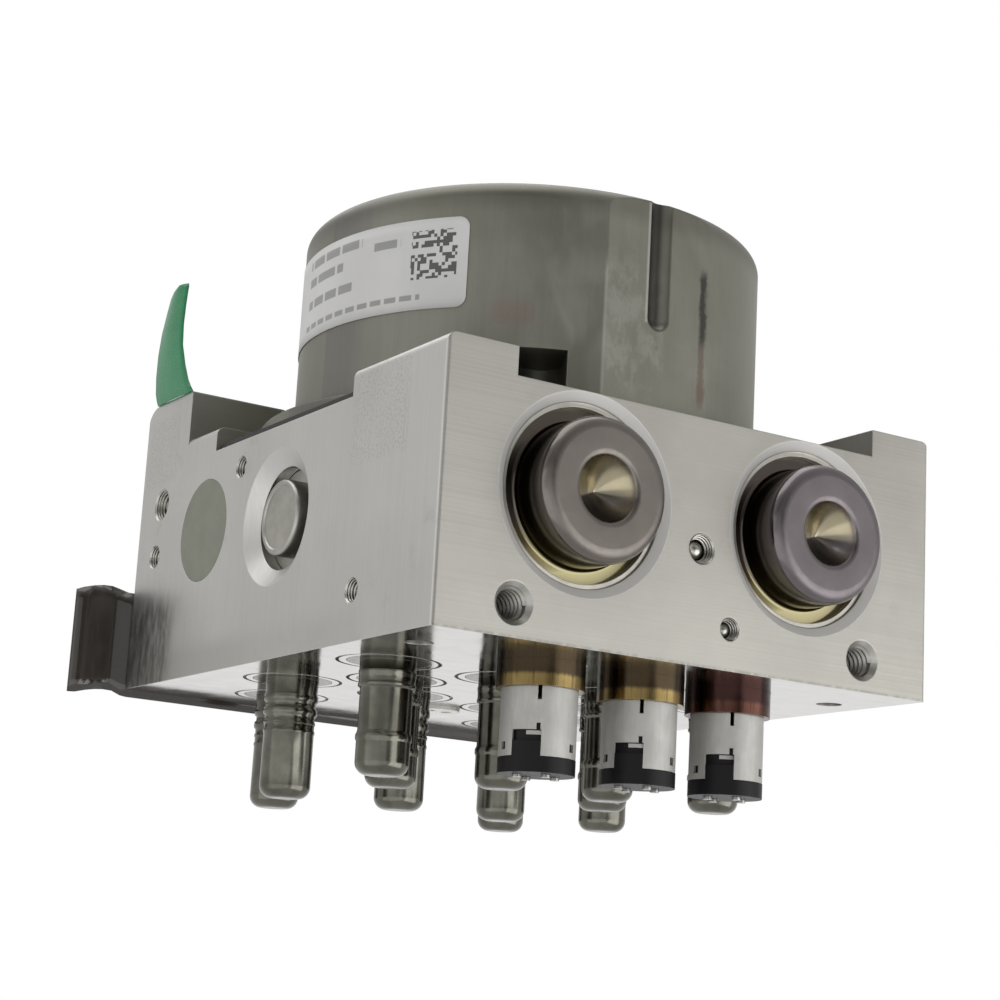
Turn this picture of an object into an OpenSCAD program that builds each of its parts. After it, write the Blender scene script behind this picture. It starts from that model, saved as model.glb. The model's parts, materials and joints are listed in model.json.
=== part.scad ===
// Hydraulic unit of an anti-lock brake module: an aluminium valve block with a pump motor on
// its deck, solenoid valve domes and pressure sensors below it, and two accumulators in front.
// Millimetres, +Z up. The origin is the point of the block's lower face on the motor's axis,
// the accumulators look along -Y, and left is -X.

/* [Block] */
// Width of the block
block_w = 92; // [90:1:104]
// Distance from the motor axis to the front face
front_reach = 51; // [51:0.5:58]
// Distance from the motor axis to the rear face
rear_reach = 54.5; // [54:0.5:62]
// Height of the deck that the motor stands on
deck_h = 38.2; // [38.2:0.2:42]
// Height of the four ears
ear_h = 42.6; // [41:0.2:46]
// Width of an ear
ear_w = 12; // [8:0.5:12]
// Length of a front ear
front_ear_l = 27.5; // [16:0.5:27.5]
// Length of a rear ear
rear_ear_l = 11.5; // [6:0.5:12]
// Height of the port ridge along the rear
ridge_h = 51; // [48:0.5:56]
// Depth of the port ridge
ridge_d = 18.5; // [16:0.5:20]
// Radius of the ridge's upper rear edge
ridge_round = 4; // [2:0.5:6]
// Radius of the block's upright edges
edge_round = 0.6; // [0.4:0.1:2]
// Radius of an ear's outer upper edge
ear_round = 1.5; // [0.5:0.1:2]

/* [Motor] */
// Radius of the motor can
can_r = 39.3; // [39:0.1:40.4]
// Height of the can above its gasket
can_h = 37.4; // [36.6:0.2:44]
// Wall of the can
can_wall = 1.6; // [1.4:0.1:1.8]
// Radius of the can's flange
can_flange_r = 45; // [42:0.1:45]
// Height of the can's flange above the gasket
can_flange_h = 1.6; // [1.4:0.1:2]
// Radius of the can's upper edge
can_round = 3; // [2:0.5:4]
// Distance from the axis to the flats at the can's front and rear
can_flat = 37.96; // [37.6:0.02:38.6]
// Radius of the crimp groove in each flat
groove_r = 2.2; // [1.5:0.1:2.6]
// Height of the groove's lower end above the gasket
groove_z = 17.6; // [14:0.2:24]
// Half the width of a screw pocket
pocket_r = 3.8; // [3.7:0.1:4.2]
// Distance from the axis to a motor screw
pocket_reach = 30.5; // [30:0.1:31]
// Height of a screw pocket
pocket_h = 9.6; // [8:0.2:10]
// Direction of the front screw pocket
pocket_angle = -119; // [-122:1:-116]
// Thickness of the gasket below the motor
gasket_t = 1.2; // [0.8:0.1:1.6]
// Radius of the motor shaft
shaft_r = 4; // [3.5:0.1:4.2]
// Radius of the armature core
core_r = 29.6; // [28:0.1:29.8]
// Length of the armature core
core_l = 13; // [10:0.5:13.5]
// Thickness of a motor magnet
magnet_t = 7.2; // [6:0.1:7.4]

/* [Pump] */
// Height of the pump axis
pump_z = 23.1; // [22.8:0.1:23.6]
// Offset of the eccentric
eccentric_offset = 1.2; // [0.8:0.05:1.3]
// Radius of the eccentric
eccentric_r = 6.5; // [6.2:0.1:6.6]
// Outer radius of the eccentric's bearing ring
ring_r = 9; // [8.6:0.1:9.2]
// Radius of the pump chamber below the motor
chamber_r = 13; // [12.6:0.1:13.4]
// Radius of a pump piston
piston_r = 3.96; // [3.5:0.02:4.2]
// Radius of a pump cylinder sleeve
sleeve_r = 6.95; // [6.5:0.05:7.1]
// Length of a pump cylinder sleeve
sleeve_l = 17.6; // [16.6:0.2:19]
// Radius of the bore that holds a pump plug
plug_bore_r = 8.4; // [8:0.1:8.6]
// Radius of the countersink at a pump plug
plug_cone_r = 11.3; // [10:0.1:12]
// Radius of a pump plug's flat disc
plug_disc_r = 6.2; // [5.5:0.1:6.6]

/* [Accumulators] */
// Distance from the middle to an accumulator's axis
accumulator_x = 21; // [20:0.5:22]
// Height of the accumulator axes
accumulator_z = 22.75; // [22.4:0.05:22.8]
// Radius of an accumulator's countersunk mouth
mouth_r = 15.4; // [15:0.05:15.4]
// Radius of an accumulator's piston bore
accumulator_r = 12.5; // [12:0.1:12.8]
// Depth of an accumulator's piston bore
accumulator_d = 19.5; // [18:0.1:19.6]
// Radius of the cap's cup
cup_r = 10.9; // [10:0.1:11]
// Distance that the cup stands out of the block
cup_out = 5.7; // [5:0.1:7]
// Radius of the dimple in the cup
dimple_r = 5.9; // [4:0.1:6.2]
// Length of an accumulator piston
acc_piston_l = 6; // [5:0.2:6.4]

/* [Valves] */
// Radius of a valve dome
dome_r = 4.2; // [4:0.05:4.4]
// Reach of the front six domes below the block
short_dome_l = 17.6; // [17:0.1:19]
// Reach of the rear six domes below the block
long_dome_l = 19.6; // [19:0.1:21]
// Distance from the middle to an outer valve
valve_outer_x = 32; // [31:0.5:33]
// Distance from the middle to an inner valve
valve_inner_x = 10.3; // [10:0.1:11]
// Distance from the middle to a valve of the second row
valve_second_x = 21; // [20.5:0.5:21.5]
// Distance from the middle to a valve of the rear row
valve_rear_x = 23.5; // [23:0.5:25]
// Distance that the front row lies ahead of the motor axis
front_row_y = 15; // [14.5:0.5:15.5]
// Distance that the second row lies behind the motor axis
second_row_y = 1.5; // [0.5:0.5:2]
// Distance that the third row lies behind the motor axis
third_row_y = 17; // [16.5:0.5:17.5]
// Distance that the rear row lies behind the motor axis
rear_row_y = 37.5; // [37:0.5:38]
// Travel of a valve plunger
valve_lift = 0.3; // [0.2:0.05:0.4]

/* [Sensors] */
// Sideways place of the left sensor
sensor_left_x = -15.9; // [-18:0.1:-15]
// Sideways place of the middle sensor
sensor_middle_x = 2.8; // [0:0.1:3]
// Sideways place of the right sensor
sensor_right_x = 20; // [17.5:0.1:21]
// Distance that the sensors lie behind the front face
sensor_y = 17.5; // [16:0.5:18]
// Radius of a sensor's brass collar
collar_r = 6.8; // [6:0.1:7]
// Height of a sensor's brass collar
collar_h = 4.1; // [4:0.1:6.5]
// Radius of a sensor's sleeve
sensor_sleeve_r = 5.85; // [5.5:0.05:5.9]
// Length of a sensor's sleeve
sensor_sleeve_l = 10.4; // [9:0.1:12]
// Height of the black rim below a sensor's sleeve
sensor_rim_h = 2.4; // [2:0.1:4]

/* [Fixings and films] */
// Radius of the two bracket holes' thread core
bracket_core_r = 2.5; // [2.1:0.1:2.6]
// Depth of a bracket hole
bracket_depth = 14; // [10:0.5:15]
// Distance from the middle to a bracket hole
bracket_x = 32.6; // [32:0.1:33.4]
// Height of the bracket holes
bracket_z = 5; // [4.6:0.1:6]
// Radius of the holes for the control unit's screws
unit_core_r = 2.1; // [1.7:0.1:2.4]
// Thickness of the films and the label
film_t = 0.2; // [0.1:0.05:0.3]
// Length of the green pull tab
green_tab_l = 19; // [10:0.5:24]
// Width of the green film
green_film_w = 14; // [10:0.5:14]
// Length of the brown pull tab
brown_tab_l = 9.6; // [8:0.1:16]
// Width of the brown film
brown_film_w = 19; // [16:0.5:20]
// Width of the blank label on the motor
label_w = 15; // [8:0.5:15]

/* [Hidden] */
$fn = 64;

// Clearances
running_gap = 0.04;
seat_gap = 0.05;
overrun = 1;

// Block
block_d = front_reach + rear_reach;
ridge_front = rear_reach - ridge_d;
can_relief = 1;

// Valve seats and staking
valve_flange_r = 6.5;
valve_flange_h = 3;
valve_body_r = 4.95;
valve_body_h = 9;
valve_nose_r = 3.45;
valve_nose_h = 12.8;
stake_r = 8;
stake_w = 0.5;
stake_d = 0.4;

// Motor
can_z = deck_h + gasket_t;
can_top = can_z + can_h;
can_in = can_r - can_wall;
flat_in = can_flat - can_wall;
flange_proud = 1;
flange_flat = can_flat + flange_proud;
plate_t = 3;
plate_top = can_z + plate_t;
spigot_r = chamber_r - seat_gap;
spigot_d = 3;
gasket_margin = 0.8;
boss_r = 14;
bearing_r = 11;
bearing_h = 7;
bearing_lip = 1;
bearing_lip_r = 8;
bearing_z = deck_h - spigot_d + bearing_lip;
top_bearing_r = 9.5;
top_bearing_h = 5;
top_seat_h = 6;
chamber_floor = 14;
journal_z = 10;
shaft_top = can_top - can_wall - seat_gap - bearing_lip;
carrier_t = 2;
carrier_r = 33;
commutator_r = 11;
commutator_h = 7;
commutator_z = plate_top + carrier_t;
winding_gap = 0.2;
winding_h = 2.4;
winding_r = 28;
slot_count = 12;
slot_r = 3.2;
slot_reach = 24.5;
slot_mouth = 1.6;
core_z = commutator_z + commutator_h + winding_gap + winding_h + 3 * winding_gap;
magnet_r = can_in - seat_gap;
magnet_over = 2;
magnet_span = 54;
brush_w = 6;
brush_h = 5;
brush_l = 12;
brush_wall = 1;
screw_r = 2.5;
screw_head_r = 3.3;
screw_head_h = 3.6;
screw_l = 13.4;
connector_x = 2;
connector_y = 26.3;
connector_r = 3.8;
connector_out = 0.6;
pin_r = 0.9;
pin_pitch = 3.2;

// Pump
piston_rest = ring_r + eccentric_offset + 3 * seat_gap;
piston_stroke = 2 * eccentric_offset;
piston_l = 12;
sleeve_x = chamber_r + 0.4 * overrun;
sleeve_wall = 2;
orifice_r = 1;
plug_face_d = 0.6;
plug_groove_d = 4;
plug_cavity_r = 2.5;
plug_cavity_l = 5;
cone_d = 1.8;
ring_h = 7.6;
eccentric_h = 8;
pump_wire = 0.8;
pump_coil_r = 2.9;

// Accumulators
mouth_bore_r = 13.9;
mouth_chamfer = 1;
mouth_d = 3.9;
cap_t = 1.2;
cup_round = 2;
dimple_d = 4;
snap_r = 0.7;
snap_y = mouth_d - cap_t;
acc_wire = 1.8;
acc_coil_r = 7.4;

// Valves
short_places = [
    [-valve_outer_x, -front_row_y], [-valve_inner_x, -front_row_y],
    [valve_inner_x, -front_row_y], [valve_outer_x, -front_row_y],
    [-valve_second_x, second_row_y], [valve_second_x, second_row_y]
];
long_places = [
    [-valve_outer_x, third_row_y], [-valve_inner_x, third_row_y],
    [valve_inner_x, third_row_y], [valve_outer_x, third_row_y],
    [-valve_rear_x, rear_row_y], [valve_rear_x, rear_row_y]
];
valve_places = concat(short_places, long_places);
dome_wall = 0.7;
dome_in = dome_r - dome_wall;
dome_round = 1.6;
collar_step_r = 4.45;
short_collar_h = 3.8;
short_ring_h = 11.4;
short_ring_d = 0.9;
long_collar_h = 2.5;
long_ring_h = 5.6;
rib = 0.12;
valve_seat_z = 8;
valve_orifice_r = 0.9;
needle_r = 1.2;
needle_top = valve_seat_z - seat_gap;
armature_top = -4;
armature_low = -15.6;
valve_wire = 0.5;
valve_coil_r = 2.5;

// Sensors
sensor_xs = [sensor_left_x, sensor_middle_x, sensor_right_x];
sensor_turns = [-3, -3, 0];
collar_sink = 0.5;
sensor_shank_r = 5;
sensor_shank_h = 5.5;
sensor_wall = 0.5;
sensor_low = collar_h + sensor_sleeve_l;
sensor_bore_r = 2;
tongue_angle = -138;
tongue_w = 4.4;
tongue_h = 2.3;
window_h = 3.9;
slit_angle = -120;
slit_w = 0.6;
slit_h = 2;
peep_angle = 61;
peep_size = 1.2;
contact_r = 0.7;
contact_reach = 3.2;
contact_h = 0.5;

// Ball plugs: distance along the face, height and radius
left_plugs = [[45.3, 32.1, 2.9], [46.5, 22.8, 2.1], [13.9, 33.6, 1.9], [-27.2, 7.8, 1.95]];
front_plugs = [[0.4, 17.9, 2.4], [6.2, 6.4, 1.8]];
gallery_share = 0.55;
gallery_l = 8;
ball_sink = 0.5;

// Vent, ports and screws
vent_y = 26.9;
vent_z = 24.8;
vent_r = 8.8;
vent_t = 2;
vent_d = 5;
outlet_r = 4.5;
outlet_d = 12;
outlet_pitch = 22;
outlet_count = 4;
inlet_r = 5;
inlet_d = 13;
inlet_x = 9.5;
inlet_z = 9.5;
bracket_mouth_r = 3.25;
bracket_mouth_d = 0.8;
unit_x = 39;
unit_y = -36;
unit_rear_x = 31;
unit_rear_y = 46.5;
unit_depth = 12;

// Films and label
film_margin = 2;
tab_lean = 3;
tab_round = 3;
brown_low = -1.5;
crease_share = 0.4;
crease_rise = 2;
label_z = 16;
label_from = 141;
label_span = 82;

// Springs: sides of the wire and steps in one turn
wire_sides = 5;
turn_steps = 9;

// Shared shapes

module mirror_side(side) {
    scale([side, 1, 1]) children();
}

module along_x() {
    rotate([0, 90, 0]) children();
}

module along_front() {
    rotate([90, 0, 0]) children();
}

module bore(r, from, to) {
    translate([0, 0, from]) cylinder(r = r, h = to - from);
}

// A tube whose lower end lies at from
module tube(outer, inner, from, to) {
    translate([0, 0, from]) difference() {
        cylinder(r = outer, h = to - from);
        translate([0, 0, -overrun]) cylinder(r = inner, h = to - from + 2 * overrun);
    }
}

// A coil spring along +Z from its first end, as one swept wire
module coil_spring(coil_r, wire, length, turns) {
    rings = turns * turn_steps;
    rise = length - wire;
    function ring_point(i, j) =
        let (
            a = 360 * i / turn_steps,
            b = 360 * j / wire_sides,
            r = coil_r + wire / 2 * cos(b)
        )
        [r * cos(a), r * sin(a), wire / 2 + rise * i / rings + wire / 2 * sin(b)];
    points = [for (i = [0:rings]) for (j = [0:wire_sides - 1]) ring_point(i, j)];
    function corner(i, j) = i * wire_sides + j % wire_sides;
    sides = [
        for (i = [0:rings - 1]) for (j = [0:wire_sides - 1]) for (half = [0, 1])
            half == 0
                ? [corner(i, j), corner(i, j + 1), corner(i + 1, j + 1)]
                : [corner(i, j), corner(i + 1, j + 1), corner(i + 1, j)]
    ];
    first_cap = [for (j = [wire_sides - 1:-1:0]) j];
    last_cap = [for (j = [0:wire_sides - 1]) rings * wire_sides + j];
    polyhedron(points = points, faces = concat(sides, [first_cap], [last_cap]));
}

// Block

module plan_2d() {
    union() {
        translate([-block_w / 2 + edge_round, -front_reach])
            square([block_w - 2 * edge_round, block_d]);
        translate([-block_w / 2, -front_reach + edge_round])
            square([block_w, block_d - 2 * edge_round]);
        for (x = [-1, 1]) for (y = [-front_reach + edge_round, rear_reach - edge_round])
            translate([x * (block_w / 2 - edge_round), y]) circle(r = edge_round);
    }
}

// Upright section through the ridge: along Y, then up
module ridge_2d() {
    difference() {
        translate([ridge_front, 0]) square([ridge_d, ridge_h]);
        difference() {
            translate([rear_reach - ridge_round, ridge_h - ridge_round])
                square(ridge_round + overrun);
            translate([rear_reach - ridge_round, ridge_h - ridge_round]) circle(r = ridge_round);
        }
    }
}

// An ear seen from the front, its outer upper edge round
module ear_2d() {
    difference() {
        translate([block_w / 2 - ear_w, 0]) square([ear_w, ear_h]);
        difference() {
            translate([block_w / 2 - ear_round, ear_h - ear_round])
                square(ear_round + overrun);
            translate([block_w / 2 - ear_round, ear_h - ear_round]) circle(r = ear_round);
        }
    }
}

module ear(from, length) {
    translate([0, from + length, 0]) along_front() linear_extrude(height = length) ear_2d();
}

module block_blank() {
    intersection() {
        union() {
            translate([-block_w / 2, -front_reach, 0]) cube([block_w, block_d, deck_h]);
            for (side = [-1, 1]) mirror_side(side) {
                ear(-front_reach, front_ear_l);
                ear(ridge_front - rear_ear_l, rear_ear_l + overrun);
            }
            translate([-block_w / 2, 0, 0]) rotate([90, 0, 90])
                linear_extrude(height = block_w) ridge_2d();
        }
        linear_extrude(height = ridge_h + overrun) plan_2d();
    }
}

module valve_bores() {
    for (place = valve_places) translate(place) {
        bore(valve_flange_r + seat_gap, -overrun, valve_flange_h);
        bore(valve_body_r + seat_gap, -overrun, valve_body_h);
        bore(valve_nose_r + seat_gap, -overrun, valve_nose_h + seat_gap);
        tube(stake_r + stake_w / 2, stake_r - stake_w / 2, -overrun, stake_d);
    }
}

module sensor_bores() {
    for (i = [0:2]) sensor_frame(i) {
        bore(collar_r + seat_gap, -overrun, collar_sink);
        bore(sensor_shank_r + seat_gap, -overrun, sensor_shank_h + seat_gap);
    }
}

module accumulator_bore() {
    along_front() translate([0, 0, -accumulator_d]) {
        cylinder(r = accumulator_r, h = accumulator_d + overrun);
        translate([0, 0, accumulator_d - mouth_d])
            cylinder(r = mouth_bore_r, h = mouth_d + overrun);
        translate([0, 0, accumulator_d - mouth_chamfer])
            cylinder(r1 = mouth_bore_r, r2 = mouth_r, h = mouth_chamfer);
        translate([0, 0, accumulator_d]) cylinder(r = mouth_r, h = overrun);
        translate([0, 0, accumulator_d - snap_y])
            cylinder(r = mouth_bore_r + snap_r, h = 2 * snap_r);
    }
}

module pump_bore() {
    translate([0, 0, pump_z]) along_x() {
        cylinder(r = sleeve_r + seat_gap, h = block_w / 2);
        translate([0, 0, sleeve_x + sleeve_l])
            cylinder(r = plug_bore_r, h = block_w / 2);
        translate([0, 0, block_w / 2 - cone_d])
            cylinder(r1 = plug_bore_r, r2 = plug_cone_r, h = cone_d);
        translate([0, 0, block_w / 2]) cylinder(r = plug_cone_r, h = overrun);
    }
}

module motor_seat() {
    bore(chamber_r, chamber_floor, deck_h + overrun);
    bore(shaft_r + running_gap, journal_z - overrun, chamber_floor + overrun);
    translate([0, 0, deck_h]) linear_extrude(height = ridge_h - deck_h + overrun) relief_2d();
    translate([connector_x, connector_y, 0])
        bore(connector_r + seat_gap, -overrun, deck_h + overrun);
    motor_screw_places() bore(screw_r + running_gap, deck_h - screw_l, deck_h + overrun);
}

module port_bores() {
    for (i = [0:outlet_count - 1])
        translate([(i - (outlet_count - 1) / 2) * outlet_pitch, rear_reach - ridge_d / 2, 0])
            bore(outlet_r, ridge_h - outlet_d, ridge_h + overrun);
    for (side = [-1, 1]) translate([side * inlet_x, rear_reach, inlet_z])
        along_front() bore(inlet_r, -overrun, inlet_d);
}

module fixing_bores() {
    for (side = [-1, 1]) {
        translate([side * bracket_x, -front_reach, bracket_z]) along_front() {
            bore(bracket_core_r, -bracket_depth, overrun);
            translate([0, 0, -bracket_mouth_d])
                cylinder(r1 = bracket_core_r, r2 = bracket_mouth_r, h = bracket_mouth_d);
            bore(bracket_mouth_r, 0, overrun);
        }
        translate([side * unit_x, unit_y, 0]) bore(unit_core_r, -overrun, unit_depth);
    }
    translate([unit_rear_x, unit_rear_y, 0]) bore(unit_core_r, -overrun, unit_depth);
}

// Hole of a pressed-in ball, along +Z from the face, with its narrower gallery
module plug_hole(r) {
    bore(r, -overrun, 2 * r + ball_sink);
    bore(r * gallery_share, -overrun, 2 * r + ball_sink + gallery_l);
}

module plug_bores() {
    for (side = [-1, 1]) mirror_side(side) for (p = left_plugs)
        translate([-block_w / 2, p[0], p[1]]) along_x() plug_hole(p[2]);
    for (p = front_plugs)
        translate([p[0], -front_reach, p[1]]) rotate([-90, 0, 0]) plug_hole(p[2]);
}

module vent_bore() {
    translate([-block_w / 2, vent_y, vent_z]) along_x()
        bore(vent_r + seat_gap, -overrun, vent_t);
    translate([-block_w / 2, vent_y, vent_z]) along_x()
        bore(vent_r - overrun, -overrun, vent_d);
}

module valve_block() {
    color("#a9a69f") difference() {
        block_blank();
        valve_bores();
        sensor_bores();
        for (side = [-1, 1]) mirror_side(side) {
            translate([accumulator_x, -front_reach, accumulator_z]) accumulator_bore();
            pump_bore();
        }
        motor_seat();
        port_bores();
        fixing_bores();
        plug_bores();
        vent_bore();
    }
}

module pressed_ball(r) {
    translate([0, 0, r + ball_sink]) sphere(r = r);
}

module ball_plugs() {
    color("#c9c9c9") {
        for (side = [-1, 1]) mirror_side(side) for (p = left_plugs)
            translate([-block_w / 2, p[0], p[1]]) along_x() pressed_ball(p[2] - running_gap);
        for (p = front_plugs)
            translate([p[0], -front_reach, p[1]]) rotate([-90, 0, 0])
                pressed_ball(p[2] - running_gap);
    }
}

module vent_disc() {
    color("#8f9284") translate([-block_w / 2, vent_y, vent_z]) along_x()
        bore(vent_r, 0, vent_t);
}

// Motor

module motor_screw_places() {
    for (turn = [0, 180]) rotate([0, 0, pocket_angle + turn])
        translate([pocket_reach, 0, 0]) children();
}

// Plan of the screw pockets, grown all round
module pocket_2d(grow) {
    for (turn = [0, 180]) rotate(pocket_angle + turn) {
        translate([pocket_reach, 0]) circle(r = pocket_r + grow);
        translate([pocket_reach, -pocket_r - grow]) square([can_r, 2 * (pocket_r + grow)]);
    }
}

// Plan of the can: a circle of the given radius between two flats
module can_2d(r, flat) {
    intersection() {
        circle(r = r, $fn = 96);
        square([3 * r, 2 * flat], center = true);
    }
}

// Plan of the room that the block leaves round the can's flange
module relief_2d() {
    can_2d(can_flange_r + can_relief, flange_flat + can_relief);
}

// Upright half-section of the can's outside, its upper edge round
module can_section() {
    union() {
        square([can_r, can_h - can_round]);
        square([can_r - can_round, can_h]);
        translate([can_r - can_round, can_h - can_round]) circle(r = can_round);
    }
}

module groove_cut(grow) {
    for (side = [-1, 1]) translate([0, side * (can_flat + 0.3 * groove_r), groove_z]) {
        cylinder(r = groove_r + grow, h = can_h);
        sphere(r = groove_r + grow);
    }
}

module motor_can() {
    color("#75736a") translate([0, 0, can_z]) {
        difference() {
            union() {
                intersection() {
                    rotate_extrude($fn = 96) can_section();
                    linear_extrude(height = can_h) can_2d(can_r + overrun, can_flat);
                }
                linear_extrude(height = can_flange_h) can_2d(can_flange_r, flange_flat);
            }
            difference() {
                translate([0, 0, -overrun]) linear_extrude(height = can_h - can_wall + overrun)
                    can_2d(can_in, flat_in);
                translate([0, 0, -2 * overrun])
                    linear_extrude(height = pocket_h + can_wall + 2 * overrun)
                    pocket_2d(can_wall);
                groove_cut(can_wall);
            }
            translate([0, 0, can_flange_h]) linear_extrude(height = pocket_h - can_flange_h)
                pocket_2d(0);
            groove_cut(0);
            motor_screw_places() bore(screw_r + seat_gap, -overrun, can_flange_h + overrun);
        }
        tube(top_bearing_r + can_wall, top_bearing_r, can_h - can_wall - top_seat_h,
            can_h - can_wall);
    }
}

module motor_end_plate() {
    color("#9a9a98") difference() {
        union() {
            translate([0, 0, can_z]) linear_extrude(height = plate_t) difference() {
                can_2d(can_in - seat_gap, flat_in - seat_gap);
                pocket_2d(can_wall + seat_gap);
            }
            bore(spigot_r, deck_h - spigot_d, can_z + seat_gap);
            bore(boss_r, can_z, bearing_z + bearing_h);
        }
        bore(bearing_r, bearing_z, bearing_z + bearing_h + overrun);
        bore(bearing_lip_r, deck_h - spigot_d - overrun, bearing_z + overrun);
        translate([connector_x, connector_y, 0])
            bore(connector_r + seat_gap, can_z - overrun, plate_top + overrun);
    }
}

// Plan of the gasket: below the flange, and out to the block's sides between the ears
module gasket_2d() {
    front = -front_reach + front_ear_l + gasket_margin;
    rear = ridge_front - rear_ear_l - gasket_margin;
    difference() {
        union() {
            can_2d(can_flange_r, flange_flat);
            translate([-block_w / 2 + gasket_margin, front])
                square([block_w - 2 * gasket_margin, rear - front]);
        }
        circle(r = spigot_r + 2 * seat_gap);
    }
}

module motor_gasket() {
    color("#1c1c1c") difference() {
        translate([0, 0, deck_h]) linear_extrude(height = gasket_t) gasket_2d();
        translate([connector_x, connector_y, 0])
            bore(connector_r + seat_gap, deck_h - overrun, can_z + overrun);
        motor_screw_places() bore(screw_r + seat_gap, deck_h - overrun, can_z + overrun);
    }
}

module motor_magnets() {
    color("#3c3c40") for (a = [45, 135, 225, 315]) rotate([0, 0, a - magnet_span / 2])
        translate([0, 0, core_z - magnet_over])
            rotate_extrude(angle = magnet_span, $fn = 96)
                translate([magnet_r - magnet_t, 0])
                    square([magnet_t, core_l + 2 * magnet_over]);
}

module slot_places() {
    for (i = [0:slot_count - 1]) rotate([0, 0, 360 * (i + 0.5) / slot_count])
        translate([slot_reach, 0, 0]) children();
}

module rotor_core() {
    color("#5d6166") translate([0, 0, core_z]) linear_extrude(height = core_l) difference() {
        circle(r = core_r, $fn = 96);
        circle(r = shaft_r + running_gap);
        slot_places() {
            circle(r = slot_r);
            translate([0, -slot_mouth / 2]) square([core_r, slot_mouth]);
        }
    }
}

module rotor_windings() {
    color("#b5662f") {
        difference() {
            union() {
                slot_places()
                    bore(slot_r - winding_gap, core_z - winding_h, core_z + core_l + winding_h);
                for (z = [core_z - winding_h, core_z + core_l])
                    translate([0, 0, z]) cylinder(r = winding_r, h = winding_h);
            }
            for (z = [core_z - winding_h, core_z + core_l])
                bore(slot_reach - slot_r, z - overrun, z + winding_h + overrun);
        }
    }
}

module commutator() {
    color("#b87345") difference() {
        tube(commutator_r, shaft_r + running_gap, commutator_z, commutator_z + commutator_h);
        for (i = [0:slot_count - 1]) rotate([0, 0, 360 * i / slot_count])
            translate([commutator_r - overrun, -slot_mouth / 4, commutator_z - overrun])
                cube([2 * overrun, slot_mouth / 2, commutator_h + 2 * overrun]);
    }
}

module motor_shaft() {
    color("#b9bbbd") bore(shaft_r, journal_z, shaft_top);
}

module eccentric() {
    color("#8f9396") translate([0, 0, pump_z - eccentric_h / 2]) difference() {
        translate([eccentric_offset, 0, 0]) cylinder(r = eccentric_r, h = eccentric_h);
        bore(shaft_r + running_gap, -overrun, eccentric_h + overrun);
    }
}

module eccentric_ring() {
    color("#d0d2d4") translate([eccentric_offset, 0, 0])
        tube(ring_r, eccentric_r + running_gap, pump_z - ring_h / 2, pump_z + ring_h / 2);
}

module shaft_bearings() {
    color("#c4c6c8") {
        tube(bearing_r - running_gap, shaft_r + running_gap, bearing_z, bearing_z + bearing_h);
        tube(top_bearing_r - running_gap, shaft_r + running_gap,
            can_top - can_wall - top_bearing_h, can_top - can_wall);
    }
}

module brush_places() {
    for (turn = [0, 180]) rotate([0, 0, turn]) translate([commutator_r + 2 * seat_gap, 0, 0])
        children();
}

module brush_carrier() {
    box_w = brush_w + 2 * (brush_wall + seat_gap);
    box_h = brush_h + 2 * (brush_wall + seat_gap);
    color("#2b2b2d") difference() {
        union() {
            translate([0, 0, plate_top]) linear_extrude(height = carrier_t) difference() {
                circle(r = carrier_r);
                circle(r = boss_r + seat_gap);
                pocket_2d(can_wall + 2 * seat_gap);
            }
            brush_places() translate([boss_r - commutator_r, -box_w / 2, plate_top])
                cube([brush_l, box_w, carrier_t / 2 + box_h]);
        }
        brush_places()
            translate([-overrun, -brush_w / 2 - seat_gap, plate_top + carrier_t - seat_gap])
                cube([brush_l + 2 * overrun, brush_w + 2 * seat_gap, brush_h + 2 * seat_gap]);
        for (side = [-1, 1]) translate([connector_x + side * pin_pitch / 2, connector_y, 0])
            bore(pin_r + seat_gap, plate_top - overrun, plate_top + carrier_t + overrun);
    }
}

module brushes() {
    color("#3a3632") brush_places()
        translate([0, -brush_w / 2, plate_top + carrier_t]) cube([brush_l, brush_w, brush_h]);
}

module motor_screws() {
    color("#8a8c8e") motor_screw_places() difference() {
        union() {
            bore(screw_r, deck_h - screw_l, can_z + can_flange_h + seat_gap);
            bore(screw_head_r, can_z + can_flange_h, can_z + can_flange_h + screw_head_h);
        }
        translate([0, 0, can_z + can_flange_h + screw_head_h / 2])
            cylinder(r = screw_head_r / 2, h = screw_head_h, $fn = 6);
    }
}

module motor_connector() {
    color("#e8e6df") translate([connector_x, connector_y, 0]) difference() {
        bore(connector_r, -connector_out, plate_top);
        for (side = [-1, 1]) translate([side * pin_pitch / 2, 0, 0])
            bore(pin_r + running_gap, -connector_out - overrun, plate_top + overrun);
    }
}

module motor_pins() {
    color("#c9b25a") for (side = [-1, 1])
        translate([connector_x + side * pin_pitch / 2, connector_y, 0])
            bore(pin_r, connector_out, plate_top + carrier_t);
}

module motor_label() {
    color("#f2f2f0") rotate([0, 0, label_from])
        translate([0, 0, can_z + label_z]) rotate_extrude(angle = label_span, $fn = 96)
            translate([can_r, 0]) square([film_t, label_w]);
}

// Pump

module pump_plug(side) {
    disc_low = block_w / 2 - plug_groove_d;
    seat = sleeve_x + sleeve_l;
    color("#b4b2ab") mirror_side(side) translate([0, 0, pump_z]) along_x() difference() {
        union() {
            bore(plug_bore_r - seat_gap, seat, disc_low);
            bore(plug_disc_r, disc_low - overrun, block_w / 2 - plug_face_d);
        }
        bore(plug_cavity_r, seat - overrun, seat + plug_cavity_l);
    }
}

module pump_sleeve(side) {
    color("#a8a9ab") mirror_side(side) translate([0, 0, pump_z]) along_x() difference() {
        bore(sleeve_r, sleeve_x, sleeve_x + sleeve_l);
        bore(piston_r + running_gap, sleeve_x - overrun, sleeve_x + sleeve_l - sleeve_wall);
        bore(orifice_r, sleeve_x, sleeve_x + sleeve_l + overrun);
    }
}

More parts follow.
